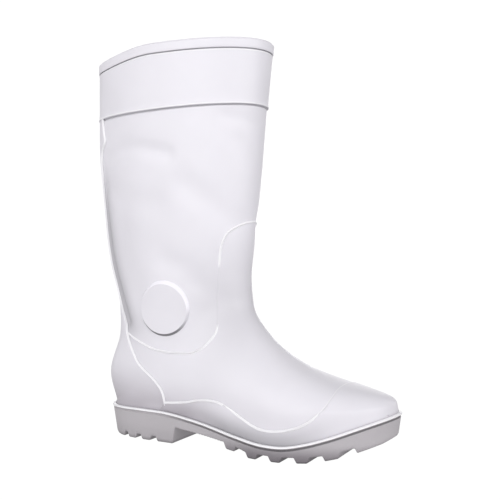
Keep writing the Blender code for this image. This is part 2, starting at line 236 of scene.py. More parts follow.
# Profile of the collar band: height above its lower edge, how far it stands out
BAND_LIP = (
    (1.2, -0.8), (0.4, 0.2), (0.0, 1.0), (0.2, 1.5), (0.7, 1.75), (1.5, 1.7), (2.6, 1.4), (3.8, 1.15),
    (5.2, 1.05),
)
BAND_FACE = 1.0  # how far the face of the band stands out
BAND_FACE_FROM = 7.2
BAND_FACE_ROWS = 22
BAND_EDGE = 0.8  # rounding of its upper edge

# Profile of its upper edge: height above that edge, how far it stands out
BAND_TOP = ((-0.4, 0.85), (0, 0.3), (0, -0.2), (-1, -0.8))
RIM_SEAM = 0.5  # groove between band and rim

# Bright edges of the band: height above its lower or its upper edge, how far they stand out
BAND_BEAD = ((0.5, 1.0), (0.6, 1.85), (1.1, 2.0), (1.7, 1.85), (1.9, 1.0))
BAND_TOP_BEAD = ((-1.9, 0.4), (-1.8, 1.1), (-1.3, 1.2), (-0.9, 1.1), (-0.8, 0.4))

# Profile of the rim: height above its lower edge, how far it stands out; it rolls over the wall to the inside
RIM_PROFILE = (
    (1.0, -0.8), (0.2, 0.6), (0.0, 1.2), (0.2, 1.6), (0.7, 1.75), (2.4, 1.8), (7.9, 1.8), (8.5, 1.65),
    (8.75, 1.2), (8.8, 0.3), (8.8, -1.0), (8.5, -2.4), (7.6, -3.3), (6.2, -3.7), (3.0, -3.6),
    (-1.0, -3.4), (-3.4, -3.1), (-3.8, -2.6), (-3.4, -1.6), (-1.0, -1.2),
)

# Ankle disc: height, rows of its flat face as shares, width of its sloping edge
DISC_HIGH = 2.4
DISC_FACE = (0, 0.4, 0.75, 0.93)
DISC_SLOPE = 1.4
DISC_SLOPE_ABOVE = 2.6  # how much wider the edge is above and below
DISC_SLOPE_BELOW = 1.2
DISC_TURN = 0.2  # turn of its widest places, towards the heel below, in radians
DISC_POINTS = 96

# Profile of its edge: share of the slope's width, share of the height
DISC_EDGE = ((0, 1.03), (0.12, 1.03), (0.25, 0.9), (0.95, 0.08), (1.0, -0.05), (1.02, -0.35))

# Side of the sole below its top: how far out of the upper, depth
WELT_PROFILE = (
    (-7, 1.0), (0.8, 0.3), (1.6, 0.05), (2.4, 0.0), (3.1, 0.2), (3.7, 0.6), (3.95, 1.1), (4.0, 1.5),
    (3.85, 1.9), (3.3, 2.2), (1.7, 2.5), (1.1, 3.1), (1.6, 3.7), (3.1, 4.1),
)

# Bright edge that lies on the welt: how far out of the upper, depth below its top
WELT_EDGE = (
    (0.6, 0.6), (1.2, -0.2), (2.2, -0.35), (3.2, -0.15), (3.9, 0.3), (4.2, 0.9), (4.15, 1.4), (3.5, 1.7),
    (2.0, 1.2),
)
GROOVE_TOP = 2.1  # depth below which the welt's profile is a groove
GROOVE_LIP = 3.1  # how far out of the upper the groove's edges lie
HEEL_GROOVE = 0.3  # share of the groove's depth round the heel, which grows along DEEPEN_X
DEEPEN_X = (60, 125)
SOLE_LIFT = 0.3  # top of the welt above the upper's lower edge, so that no gap shows
SOLE_STEP = 0.8  # spacing of the sole's rows
SOLE_HEEL = 3.0  # lengths at heel and toe where the rows turn round the end
SOLE_TOE = 2.0
END_ROWS = 8
SIDE_LEVELS = 12
UNDER_COLUMNS = 13
SOLE_ROUND = 0.9  # rounding of the tread's edge, from a share of the side's height down
SOLE_ROUND_FROM = 0.86
GROOVE_SLOPE = 1.8  # length over which a groove's wall slopes
RIB_PITCH = 3.2  # fine ribs across the waist
RIB_DEEP = 0.7
RIB_FROM = 92.0
RIB_TO = 143.0
RIB_FADE = 2.0
TREAD_ENDS = (-9.5, 299.6)  # of the underside's table
TREAD_STEP = 0.2
TREAD_ROUND = 0.7  # rounding of the cleats' edges, and the steps that it takes to each side
TREAD_REACH = 8

# Insole, whose face turns up at the edge by a power of the width
INSOLE_ROWS = 90
INSOLE_COLUMNS = 33
INSOLE_SUNK = 0.4
INSOLE_CLEAR = 0.6
INSOLE_LIP = 1.2
INSOLE_LIP_POWER = 6

# Painted shade in the colour: share of the light that it takes
STRIP_PAINTED_SHADE = 0.42  # in a band beside the strip
STRIP_PAINTED_SHADE_WIDE = 14.0
STRIP_PAINTED_SHADE_Z = (210, 280)  # heights where the band starts to fade and where it has gone
BEND_PAINTED_SHADE = 0.18  # in the bend of the ankle, round a place seen from the side: x, z
BEND_PAINTED_SHADE_AT = (145, 132)
BEND_PAINTED_SHADE_WIDE = 45.0
RAND_PAINTED_SHADE = 0.44  # on the rand next to the welt
RAND_PAINTED_SHADE_TALL = 22.0
RAND_PAINTED_SHADE_X = (110, 150, 200, 262)  # where it begins, is full, starts to fade and has gone
DISC_PAINTED_SHADE = 0.72  # under the ankle disc, by how much the edge leans down
DISC_PAINTED_SHADE_LEAN = (0.1, 0.8)
DISC_PAINTED_HIGHLIGHT = 0.2  # painted highlight: how much brighter its upper edge is, by how much the edge leans up
DISC_PAINTED_HIGHLIGHT_LEAN = (-0.1, 0.3)
DISC_SOFT = 0.15  # length over which these tones begin at the edge

# Moulded PVC: colour, share of it that is left in crevices under painted shade, roughness, coat, strength of
# the skin
WHITE_PVC = ((0.79, 0.77, 0.825), 0.6, 0.42, 0.12, 0.15)
# A lighter copy of the white PVC, as a painted highlight on beads and edges
HIGHLIGHT_PVC = ((0.9, 0.89, 0.92), 0.75, 0.4, 0.12, 0.1)
SOLE_PVC = ((0.48, 0.455, 0.48), 0.55, 0.5, 0.0, 0.4)

# Painted shade that darkens the colour towards the sole, broken by streaks: z where it is full and where it
# has gone, x of the imported model where it is full and where only a share is left, that share; and its tone
UPPER_LOW_SHADE = ((22, 66, -60, 50, 0.25), (0.66, 0.635, 0.65))
COUNTER_LOW_SHADE = ((25, 80, -200, 200, 1), (0.57, 0.545, 0.56))
RAND_LOW_SHADE = ((30, 60, -40, 20, 0.15), (0.53, 0.505, 0.52))
SOLE_LOW_SHADE = ((2, 20, 40, -40, 0.25), (0.38, 0.36, 0.38))

# Knitted fabric: colour, pitch of the ribs, their depth
LINING_KNIT = ((0.62, 0.61, 0.62), 2.2, 0.3)
SOCK_KNIT = ((0.55, 0.55, 0.57), 1.6, 0.25)

# Finish of PVC and fabric
NOISE_RANGE = (0.3, 0.7)  # values between which most of a noise lies
NOISE_DETAIL = 3.0
CLOUD_SCALE = 22.0
CLOUD_DULL = 0.965  # share of the colour where the clouding is darkest
CLOUD_GLOSS = (-0.05, 0.07)
STREAK_SCALE = 16.0
STREAK_STRETCH = (1, 1, 4)
STREAK_LEAST = 0.8
SKIN_SCALE = 900.0
SKIN_DETAIL = 2.0
SKIN_DEEP = 0.2
# Painted shade in crevices, from the ambient occlusion round each point
CREVICE_SHADE_WIDE = 5.0
CREVICE_SHADE_RANGE = (0.25, 0.85)  # openness where the shade is full and where it has gone
WAVE_LENGTH = 0.314  # length of the wave texture's waves at scale 1
KNIT_RIB_SHADE = 0.72  # share of the colour between the ribs, as painted shade
KNIT_BUMP = 0.6

# Camera: what it looks at, its distance, and its angle from the outer side towards the toe
CAMERA_TARGET = (146, 8.4, 186)
CAMERA_AWAY = 750.0
CAMERA_AZIMUTH = 27.5
SENSOR = 36.0
FOCAL_PIXELS = 772  # focal length, in an image of FRAME_PIXELS
FRAME_PIXELS = 500
CLIP_START = 10.0

# Studio light
FILL = 0.54  # brightness of the surroundings as a light
BACKGROUND = 1.05  # and for the eye
FLOOR_HALF = 6000.0  # half the floor's side
FLOOR_TONE = 0.06  # how much light the floor sends back
FLOOR_LIGHT = 0.5  # brightness of the floor as a light, like a light table
FLOOR_GLOW = 1.0  # and for the eye

# Soft lamps: name, degrees right of the camera, degrees up, strength
LAMPS = (("left", -45, 10, 1.3), ("front", 0, 10, 0.6), ("right", 45, 10, 1.15), ("back", 180, -5, 1.2))
LAMP_SPREAD = 50.0  # degrees


def hermite(knots, values, at):
    """Smooth curve through values at rising knots."""
    knots, values, at = [np.asarray(part, float) for part in (knots, values, at)]
    steps = np.diff(knots)
    slopes = np.diff(values) / steps
    tangents = np.concatenate([slopes[:1], slopes])
    tangents[1:-1] = (slopes[:-1] * steps[1:] + slopes[1:] * steps[:-1]) / (steps[:-1] + steps[1:])
    i = np.clip(np.searchsorted(knots, at) - 1, 0, len(steps) - 1)
    u = (at - knots[i]) / steps[i]
    blend = u * u * (3 - 2 * u)
    leave = u * (1 - u) ** 2 * steps[i] * tangents[i]
    arrive = u * u * (u - 1) * steps[i] * tangents[i + 1]
    return values[i] * (1 - blend) + values[i + 1] * blend + leave + arrive


def column(table, index):
    return np.array([line[index] for line in table], float)


def smooth_step(value, low, high):
    u = np.clip((value - low) / (high - low), 0, 1)
    return u * u * (3 - 2 * u)


def unit(vectors):
    return vectors / np.maximum(np.linalg.norm(vectors, axis=-1, keepdims=True), TINY)


def arc_length(points):
    return np.concatenate([[0], np.cumsum(np.linalg.norm(np.diff(points, axis=0), axis=1))])


def read_rows(at, along, rows):
    """Rows of numbers read at places between them."""
    return np.stack([np.interp(at, along, part) for part in rows.T], axis=1)


def foot_station(x):
    """Station of a foot section: 0 at the toe, pi at the heel."""
    return np.arccos(np.clip(2 * np.asarray(x, float) / FOOT - 1, -1, 1))


def foot_x(station):
    return FOOT / 2 * (1 + np.cos(station))


def shaft_knots():
    """Stations of the shaft's sections, from pi at the heel upwards."""
    middles = np.array([((line[0] + line[2]) / 2, (line[1] + line[3]) / 2) for line in SHAFT_ROWS])
    return np.pi + arc_length(middles) / SHAFT_SCALE


SHAFT_KNOTS = shaft_knots()
KNOTS = np.concatenate([foot_station(column(FOOT_ROWS, 0)), SHAFT_KNOTS])
SECTIONS = np.vstack([np.array(FOOT_ROWS)[:, 1:], np.array(SHAFT_ROWS)[:, 2:]])
OUTLINE_KNOTS = foot_station(column(OUTLINE, 0))[::-1]
BAND = float(np.interp(BAND_Z, column(SHAFT_ROWS, 1), SHAFT_KNOTS))
TOP = float(SHAFT_KNOTS[-1])
RIM_FROM = TOP - RIM_TALL / SHAFT_SCALE


def outline(station):
    """Half width and middle line of the upper where it meets the sole."""
    return [hermite(OUTLINE_KNOTS, column(OUTLINE, index)[::-1], station) for index in (1, 2)]


def seat(x):
    return hermite(column(SEAT, 0), column(SEAT, 1), x)


def half_section(station):
    """Outer half of one section of the upper as fine points: x, distance from the middle line, z."""
    front_x, front_z, wide, widest, low, top = [hermite(KNOTS, values, station) for values in SECTIONS.T]
    if station <= np.pi:
        back_x = foot_x(station)
        back_z = seat(back_x)
        base, middle = outline(station)
    else:
        back_x = hermite(SHAFT_KNOTS, column(SHAFT_ROWS, 0), station)
        back_z = hermite(SHAFT_KNOTS, column(SHAFT_ROWS, 1), station)
        base, middle = 0.0, 0.0
    wide = max(wide, OVERHANG * base, THINNEST)
    end = np.pi - np.arcsin(min(1.0, (max(base, 0.0) / wide) ** (low / 2)))
    below = np.linspace(end, np.pi / 2, QUARTER_POINTS)
    above = np.linspace(np.pi / 2, 0, QUARTER_POINTS)[1:]
    drop = np.abs(np.cos(below)) ** (2 / low) / max(abs(np.cos(end)) ** (2 / low), LEAST_DROP)
    height = np.concatenate([widest * (1 - drop), widest + (1 - widest) * np.cos(above) ** (2 / top)])
    across = wide * np.concatenate([np.sin(below) ** (2 / low), np.sin(above) ** (2 / top)])
    x = back_x + (front_x - back_x) * height
    z = back_z + (front_z - back_z) * height
    rise = np.clip((station - BAND) / (RIM_FROM - BAND), 0, 1) ** 2
    z = z - COLLAR_DIP * rise * (1 - smooth_step(x, *DIP_X))
    return np.stack([x, across, z], axis=1), middle


def even_part(points, count):
    """Points at even distances along a run of fine points."""
    along = arc_length(points)
    return read_rows(np.linspace(0, along[-1], count + 1), along, points)


def section_row(station):
    """One row of the upper's grid: from the outer side over the front to the inner side."""
    points, middle = half_section(station)
    low = even_part(points[:QUARTER_POINTS], LOW_COLUMNS)
    high = even_part(points[QUARTER_POINTS - 1:], HIGH_COLUMNS)
    x, across, z = np.vstack([low, high[1:]]).T
    outer = np.stack([x, middle - across, z], axis=1)
    inner = np.stack([x, middle + across, z], axis=1)
    return np.vstack([outer, inner[-2::-1]])


def even_stations(start, end):
    """Stations whose sections lie evenly apart on average."""
    fine = np.linspace(start, end, FINE_STATIONS)
    rows = np.array([section_row(station) for station in fine])
    steps = np.linalg.norm(np.diff(rows, axis=0), axis=2).mean(axis=1)
    travel = np.concatenate([[0], np.cumsum(steps)])
    return np.interp(np.linspace(0, travel[-1], round(travel[-1] / ROW_STEP) + 1), travel, fine)


FOOT_STATIONS = even_stations(0, np.pi)
STATIONS = np.concatenate([FOOT_STATIONS, even_stations(np.pi, TOP)[1:]])
FOOT_STEPS = len(FOOT_STATIONS) - 1
HALF_COLUMNS = LOW_COLUMNS + HIGH_COLUMNS
LAST_COLUMN = 2 * HALF_COLUMNS


def neighbours(grid):
    """Four neighbours of each point of the upper's grid, which closes at the toe and the back."""
    before = np.concatenate([grid[1:2, ::-1], grid[:-1]])
    after = np.concatenate([grid[1:], grid[-1:]])
    left = np.concatenate([grid[:, -2:-1], grid[:, :-1]], axis=1)
    right = np.concatenate([grid[:, 1:], grid[:, 1:2]], axis=1)
    left[:FOOT_STEPS, 0] = grid[:FOOT_STEPS, 0]
    right[:FOOT_STEPS, -1] = grid[:FOOT_STEPS, -1]
    return before, after, left, right


def fair(grid, rounds):
    """Smooth the grid without shrinking it: the sole's line and the collar's edge stay."""
    free = np.ones(grid.shape[:2] + (1,))
    free[:FOOT_STEPS + 1, [0, -1]] = 0
    free[-1] = 0
    for step in [RELAX, RELAX_BACK] * rounds:
        grid = grid + step * free * (sum(neighbours(grid)) / 4 - grid)
    return grid


def bend_ankle(grid):
    """Spread the bend between foot and shaft over some rows, above the heel."""
    rows = np.arange(len(grid)) - FOOT_STEPS
    share = 1 - np.abs(np.arange(LAST_COLUMN + 1) / HALF_COLUMNS - 1)
    reach = smooth_step(share, *ANKLE_SHARE) * (1 - ANKLE_HELD * smooth_step(share, ANKLE_FRONT, 1.0))
    weight = (np.exp(-(rows / ANKLE_ROWS) ** 2)[:, None] * reach)[..., None]
    for _ in range(ANKLE_ROUNDS):
        before, after = neighbours(grid)[:2]
        grid = grid + RELAX * weight * ((before + after) / 2 - grid)
    return grid


def grid_normals(grid):
    before, after, left, right = neighbours(grid)
    return unit(np.cross(right - left, after - before))


def to_segment(points, start, end):
    """Distance of points from a straight line between two ends."""
    along = end - start
    share = np.clip((points - start) @ along / (along @ along), 0, 1)
    return np.linalg.norm(points - start - share[..., None] * along, axis=-1)


def to_line(points, line):
    """Distance of points from a line through several points."""
    ends = np.asarray(line, float)
    return np.min([to_segment(points, start, end) for start, end in zip(ends[:-1], ends[1:])], axis=0)


def fold(grid, normals):
    """Press the soft folds and dents into the upper and raise the edge round the toe."""
    seen = grid[..., [0, 2]]
    moved = np.zeros(grid.shape[:2])
    for side, width, depth, line in FOLDS:
        facing = smooth_step(side * normals[..., 1], 0.0, FOLD_TURN) if side else 1.0
        moved = moved - depth * np.exp(-(to_line(seen, line) / width) ** 2) * facing
    middle = outline(foot_station(column(TOE_EDGE, 0)))[1]
    edges = [np.array(TOE_EDGE) * (1, side, 1) + middle[:, None] * (0, 1, 0) for side in (-1, 1)]
    away = np.min([to_line(grid, edge) for edge in edges], axis=0)
    away = np.hypot(away, TOE_EDGE_ROUND) - TOE_EDGE_ROUND
    moved = moved + TOE_EDGE_HIGH * np.exp(-away / TOE_EDGE_WIDE)
    return grid + normals * moved[..., None]


SMOOTH = fair(bend_ankle(np.array([section_row(s) for s in STATIONS])), FAIR_ROUNDS)
GRID = fold(SMOOTH, grid_normals(SMOOTH))
NORMALS = grid_normals(GRID)


def surface(stations, columns, lift=0.0):
    """Points of the upper's surface, raised by lift, at stations and columns that may be fractions."""
    stations, columns, lift = np.broadcast_arrays(stations, columns, lift)
    i = np.clip(np.searchsorted(STATIONS, stations) - 1, 0, len(STATIONS) - 2)
    j = np.clip(columns.astype(int), 0, LAST_COLUMN - 1)
    u = ((stations - STATIONS[i]) / (STATIONS[i + 1] - STATIONS[i]))[..., None]
    v = (columns - j)[..., None]

    def blend(field):
        low = field[i, j] * (1 - v) + field[i, j + 1] * v
        high = field[i + 1, j] * (1 - v) + field[i + 1, j + 1] * v
        return low * (1 - u) + high * u

    return blend(GRID) + unit(blend(NORMALS)) * lift[..., None]


outsole_low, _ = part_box("outsole")
rim_low, rim_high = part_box("collar_rim")
SHIFT = np.array([outsole_low.x / MM + WELT, (rim_low.y + rim_high.y) / 2 / MM, 0])


def place(points):
    """Points in the boot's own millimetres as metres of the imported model."""
    return (np.asarray(points, float) + SHIFT) * MM


def points_of(obj):
    """Points of a mesh in the boot's own millimetres."""
    points = np.empty(3 * len(obj.data.vertices))
    obj.data.vertices.foreach_get("co", points)
    return points.reshape(-1, 3) / MM - SHIFT


def add_object(name, data):
    obj = bpy.data.objects.new(name, data)
    bpy.context.scene.collection.objects.link(obj)
    return obj


def grid_faces(rows, columns, closed_rows=False, closed_columns=False):
    """Quads of a grid whose points are numbered row by row."""
    i = np.arange(rows if closed_rows else rows - 1)
    j = np.arange(columns if closed_columns else columns - 1)
    i, j = [a.ravel() for a in np.meshgrid(i, j, indexing="ij")]
    k, m = (i + 1) % rows, (j + 1) % columns
    return np.stack([i * columns + j, i * columns + m, k * columns + m, k * columns + j], axis=1)


class Shape:
    """Grids of points collected into one mesh."""

    def __init__(self):
        self.points = []
        self.faces = []
        self.count = 0

    def add(self, grid, closed_rows=False, closed_columns=False):
        rows, columns = grid.shape[:2]
        self.points.append(grid.reshape(-1, 3))
        self.faces.extend((grid_faces(rows, columns, closed_rows, closed_columns) + self.count).tolist())
        self.count += rows * columns
        return self

    def cap(self, ring):
        """Close an end with one face over a ring of points."""
        self.points.append(ring)
        self.faces.append(list(range(self.count, self.count + len(ring))))
        self.count += len(ring)

    def build(self, name, material, closed):
        mesh = bpy.data.meshes.new(name)
        mesh.from_pydata(place(np.vstack(self.points)).tolist(), [], self.faces)
        bm = bmesh.new()
        bm.from_mesh(mesh)
        bmesh.ops.remove_doubles(bm, verts=bm.verts, dist=WELD * MM)
        if closed:
            bmesh.ops.recalc_face_normals(bm, faces=bm.faces)
        bm.to_mesh(mesh)
        bm.free()
        mesh.shade_smooth()
        mesh.set_sharp_from_angle(angle=np.radians(SHARP_ANGLE))
        mesh.materials.append(material)
        return add_object(name, mesh)


def thicken(obj, thickness, inside=None):
    """Give an open surface a wall inwards, perhaps with another material inside."""
    solid = obj.modifiers.new("wall", "SOLIDIFY")
    solid.thickness = thickness * MM
    solid.offset = -1
    if inside is not None:
        obj.data.materials.append(inside)
        solid.material_offset = 1


def ride(obj, slot, *nodes):
    """Put a piece on the boot's body and hide the CAD nodes that it replaces; slot is not used."""
    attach(obj, "root")
    if nodes:
        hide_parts(*nodes)


def painted_shade_at(points):
    """Share of painted shade on the upper: beside the back strip and in the bend of the ankle."""
    seen = points[:, [0, 2]]
    fade = 1 - smooth_step(points[:, 2], *STRIP_PAINTED_SHADE_Z)
    strip = STRIP_PAINTED_SHADE * fade * np.exp(-to_line(seen, STRIP_VALLEY) / STRIP_PAINTED_SHADE_WIDE)
    bend = np.linalg.norm(seen - BEND_PAINTED_SHADE_AT, axis=1)
    return strip + BEND_PAINTED_SHADE * np.exp(-(bend / BEND_PAINTED_SHADE_WIDE) ** 2)


def rand_painted_shade_at(points):
    """Share of painted shade on the rand, which fades upwards from the welt and towards heel and toe."""
    x, _, z = points.T
    begin, full, fade, end = RAND_PAINTED_SHADE_X
    along = smooth_step(x, begin, full) * (1 - smooth_step(x, fade, end))
    return RAND_PAINTED_SHADE * along * (1 - smooth_step(z - seat(x), 0, RAND_PAINTED_SHADE_TALL))


def paint_shade_and_highlight(obj, shares):
    """Give each point of a mesh its share of painted shade, below 0 where a painted highlight makes it
    brighter.
    """
    layer = obj.data.attributes.new("painted_light", "FLOAT", "POINT")
    layer.data.foreach_set("value", np.asarray(shares, float))


def sample_line(points):
    """Evenly spaced points on a smooth curve through a few points."""
    points = np.asarray(points, float)
    along = arc_length(points)
    fine = np.linspace(0, along[-1], LINE_POINTS * len(points))
    curve = np.stack([hermite(along, part, fine) for part in points.T], axis=1)
    return even_part(curve, int(arc_length(curve)[-1] / LINE_STEP))


def section_through(point):
    """Station and column of the upper at a point seen from the side."""
    point = np.asarray(point, float)
    base = GRID[:, 0][:, [0, 2]]
    along = GRID[:, HALF_COLUMNS][:, [0, 2]] - base
    offset = point - base
    beside = along[:, 0] * offset[:, 1] - along[:, 1] * offset[:, 0]
    share = ((offset * along).sum(1) / (along * along).sum(1))[:-1]
    near = (share > -SECTION_SLACK) & (share < 1 + SECTION_SLACK)
    turns = np.where((beside[:-1] * beside[1:] <= 0) & near)[0]
    if len(turns) == 0:
        return None
    i = turns[0]
    mix = beside[i] / (beside[i] - beside[i + 1])
    station = STATIONS[i] + mix * (STATIONS[i + 1] - STATIONS[i])
    row = surface(station, np.arange(HALF_COLUMNS + 1))[:, [0, 2]]
    line = row[-1] - row[0]
    shares = (row - row[0]) @ line / (line @ line)
    reached = (point - row[0]) @ line / (line @ line)
    return station, np.interp(reached, shares, np.arange(HALF_COLUMNS + 1))


def panel_edge(line):
    """Even stations and columns along the edge of a panel that is drawn from the side."""
    found = [section_through(point) for point in sample_line(line)]
    found = np.array([f for f in found if f is not None])
    ends = np.where(found[:, 1] >= HALF_COLUMNS)[0]
    if len(ends):
        found = found[:ends[0] + 1]
    way = np.sign(found[-1, 0] - found[0, 0])
    spread = np.arange(len(found)) * STATION_STEP
    found[:, 0] = way * (np.maximum.accumulate(way * found[:, 0]) + spread)
    along = arc_length(surface(found[:, 0], found[:, 1]))
    return read_rows(np.linspace(0, along[-1], round(along[-1] / LINE_STEP) + 1), along, found)


def sole_line(stations, side):
    """Points and outward directions of the upper's line on the sole, on one side."""

    def point(angle):
        half, middle = outline(np.where(angle > np.pi, 2 * np.pi - angle, np.abs(angle)))
        turn = np.where((angle < 0) | (angle > np.pi), -side, side)
        return np.stack([foot_x(angle), middle + turn * half], axis=1)

    along = point(stations + OUTLINE_NUDGE) - point(stations - OUTLINE_NUDGE)
    normal = unit(side * np.stack([along[:, 1], -along[:, 0]], axis=1))
    return point(stations), normal


def build_panel(name, material, edge, lift):
    """Raised sheet with a wall, between the sole or back of the boot and an edge, on both sides."""
    edge = edge[np.argsort(edge[:, 0])]
    stations = edge[:, 0]
    columns = np.minimum(np.arange(HALF_COLUMNS + 1), edge[:, 1:])
    foot = stations <= np.pi
    shape = Shape()
    for side in (-1, 1):
        across = columns if side < 0 else LAST_COLUMN - columns
        sheet = surface(stations[:, None], across, lift(surface(stations[:, None], across)))
        base, normal = sole_line(stations[foot], side)
        sheet[foot, 0] = np.column_stack([base + PANEL * normal, seat(foot_x(stations[foot]))])
        below = sheet[:, :1] - np.where(foot, SKIRT, 0)[:, None, None] * (0, 0, 1)
        sheet = np.concatenate([below, sheet], axis=1)
        shape.add(sheet if side < 0 else sheet[:, ::-1])
    panel = shape.build(name, material, closed=False)
    thicken(panel, PANEL + PANEL_ROOT)
    return panel


def smooth_rows(rows, rounds):
    for _ in range(rounds):
        rows[1:-1] = (rows[:-2] + 2 * rows[1:-1] + rows[2:]) / 4
    return rows


def rising(points, length):
    """0 at the start of a line and 1 from a length on."""
    return smooth_step(arc_length(points), 0, length)


def add_bead(shape, points, normals, half_width, heights):
    """Rounded ridge along points on a surface, with its root in the wall."""
    along = unit(np.gradient(points, axis=0))
    across = unit(np.cross(normals, along))
    share = np.linspace(-1, 1, BEAD_COLUMNS)
    profile = 0.5 + 0.5 * np.cos(np.pi * share)
    rows = points[:, None] + across[:, None] * (share * half_width)[None, :, None]
    rows = rows + normals[:, None] * (heights[:, None] * profile[None] - BEAD_SINK)[..., None]
    foot = BEAD_ROOT_WIDE * half_width * np.array([1, -1])
    root = points[:, None] + across[:, None] * foot[None, :, None] - normals[:, None] * BEAD_ROOT
    ring = np.concatenate([rows, root], axis=1)
    shape.add(ring, closed_columns=True)
    shape.cap(ring[0][::-1])
    shape.cap(ring[-1])


def build_edge(name, material, edge, bead, shares):
    """Bead along the edge of a panel, on both sides of the boot, sunk where its share is 0."""
    half_width, rise, lift = bead
    shape = Shape()
    for columns in (edge[:, 1], LAST_COLUMN - edge[:, 1]):
        points = smooth_rows(surface(edge[:, 0], columns, lift), EDGE_ROUNDS)
        normals = unit(surface(edge[:, 0], columns, 1.0) - surface(edge[:, 0], columns))
        add_bead(shape, points, normals, half_width, BEAD_SUNK + rise * shares)
    ride(shape.build(name, material, closed=True), "white_pvc")


SURFACE_TREE = BVHTree.FromPolygons(GRID.reshape(-1, 3).tolist(), grid_faces(*GRID.shape[:2]).tolist())


def on_surface(points):
    """Nearest points of the upper's surface, with smoothed normals."""
    hits = [SURFACE_TREE.find_nearest(Vector(point)) for point in points]
    places = np.array([hit[0] for hit in hits])
    normals = np.array([hit[1] for hit in hits])
    return smooth_rows(places, PLACE_ROUNDS), unit(smooth_rows(normals, NORMAL_ROUNDS))


def new_material(name):
    """New material, its node tree and its main shader."""
    material = bpy.data.materials.new(name)
    material.use_nodes = True
    return material, material.node_tree, material.node_tree.nodes["Principled BSDF"]


def feed(tree, node, inputs):
    """Set a node's inputs to values, or link them to outputs of other nodes."""
    for key, value in inputs.items():
        if isinstance(value, bpy.types.NodeSocket):
            tree.links.new(value, node.inputs[key])
        else:
            node.inputs[key].default_value = value


def add_node(tree, kind, inputs, **settings):
    node = tree.nodes.new("ShaderNode" + kind)
    for key, value in settings.items():
        setattr(node, key, value)
    feed(tree, node, inputs)
    return node


def add_range(tree, value, start, end, low, high):
    """Value carried softly from one range to another."""
    inputs = {"Value": value, "From Min": start, "From Max": end, "To Min": low, "To Max": high}
    return add_node(tree, "MapRange", inputs, interpolation_type="SMOOTHSTEP").outputs["Result"]


def add_ramp(tree, value, start, low, end, high):
    """Colour between two others, by a value."""
    ramp = add_node(tree, "ValToRGB", {"Fac": value})
    for element, position, colour in zip(ramp.color_ramp.elements, (start, end), (low, high)):
        element.position = position
        element.color = (*colour, 1)
    return ramp.outputs["Color"]


def add_math(tree, operation, first, second):
    return add_node(tree, "Math", {0: first, 1: second}, operation=operation).outputs["Value"]


def add_tint(tree, first, second):
    """Product of two colours."""
    inputs = {"Factor": 1, "A": first, "B": second}
    return add_node(tree, "Mix", inputs, data_type="RGBA", blend_type="MULTIPLY").outputs["Result"]


def add_noise(tree, where, scale, detail, stretch=(1, 1, 1)):
    """Noise that may be stretched along some axes."""
    mapping = add_node(tree, "Mapping", {"Vector": where, "Scale": stretch})
    inputs = {"Vector": mapping.outputs["Vector"], "Scale": scale, "Detail": detail}
    return add_node(tree, "TexNoise", inputs).outputs["Fac"]


def add_bump(tree, height, strength, depth):
    inputs = {"Height": height, "Strength": strength, "Distance": depth * MM}
    return add_node(tree, "Bump", inputs).outputs["Normal"]


def add_painted_low_shade(tree, where, zone, tone):
    """Painted shade that darkens the colour next to the sole, with streaks along the boot."""
    full_z, gone_z, full_x, least_x, least = zone
    axes = add_node(tree, "SeparateXYZ", {"Vector": where}).outputs
    near = add_range(tree, axes["Z"], full_z * MM, gone_z * MM, 1, 0)
    end = add_range(tree, axes["X"], full_x * MM, least_x * MM, 1, least)
    noise = add_noise(tree, where, STREAK_SCALE, NOISE_DETAIL, STREAK_STRETCH)
    streak = add_range(tree, noise, *NOISE_RANGE, STREAK_LEAST, 1)
    share = add_math(tree, "MULTIPLY", add_math(tree, "MULTIPLY", near, end), streak)
    return add_ramp(tree, share, 0, (1, 1, 1), 1, tone)


def pvc(name, colour, crevice_shade, roughness, coat, grain, zone=None, zone_tone=None):
    """Moulded PVC with faint clouding and fine skin; painted shade in crevices, painted shade and highlight
    from the points, and painted shade next to the sole.
    """
    material, tree, shader = new_material(name)
    where = add_node(tree, "TexCoord", {}).outputs["Object"]
    cloud = add_noise(tree, where, CLOUD_SCALE, NOISE_DETAIL)
    skin = add_noise(tree, where, SKIN_SCALE, SKIN_DETAIL)
    # Painted shade: colour darkened where ambient occlusion finds a crevice
    hollow = add_node(tree, "AmbientOcclusion", {"Distance": CREVICE_SHADE_WIDE * MM}, samples=8).outputs["AO"]
    low, high = NOISE_RANGE
    tone = add_ramp(tree, cloud, low, [CLOUD_DULL * part for part in colour], high, colour)
    deep, level = CREVICE_SHADE_RANGE
    tone = add_tint(tree, tone, add_ramp(tree, hollow, deep, (crevice_shade,) * 3, level, (1, 1, 1)))
    if zone:
        tone = add_tint(tree, tone, add_painted_low_shade(tree, where, zone, zone_tone))
    # Painted shade and painted highlight stored on the points, taken out of the colour
    painted_light = add_node(tree, "Attribute", {}, attribute_name="painted_light").outputs["Fac"]
    glossy, dull = [roughness + change for change in CLOUD_GLOSS]
    feed(tree, shader, {
        "Base Color": add_tint(tree, tone, add_math(tree, "SUBTRACT", 1, painted_light)),
        "Roughness": add_range(tree, cloud, 0, 1, glossy, dull),
        "Normal": add_bump(tree, skin, grain, SKIN_DEEP),
        "Coat Weight": coat,
        "Coat Roughness": 0.3,
    })
    return material


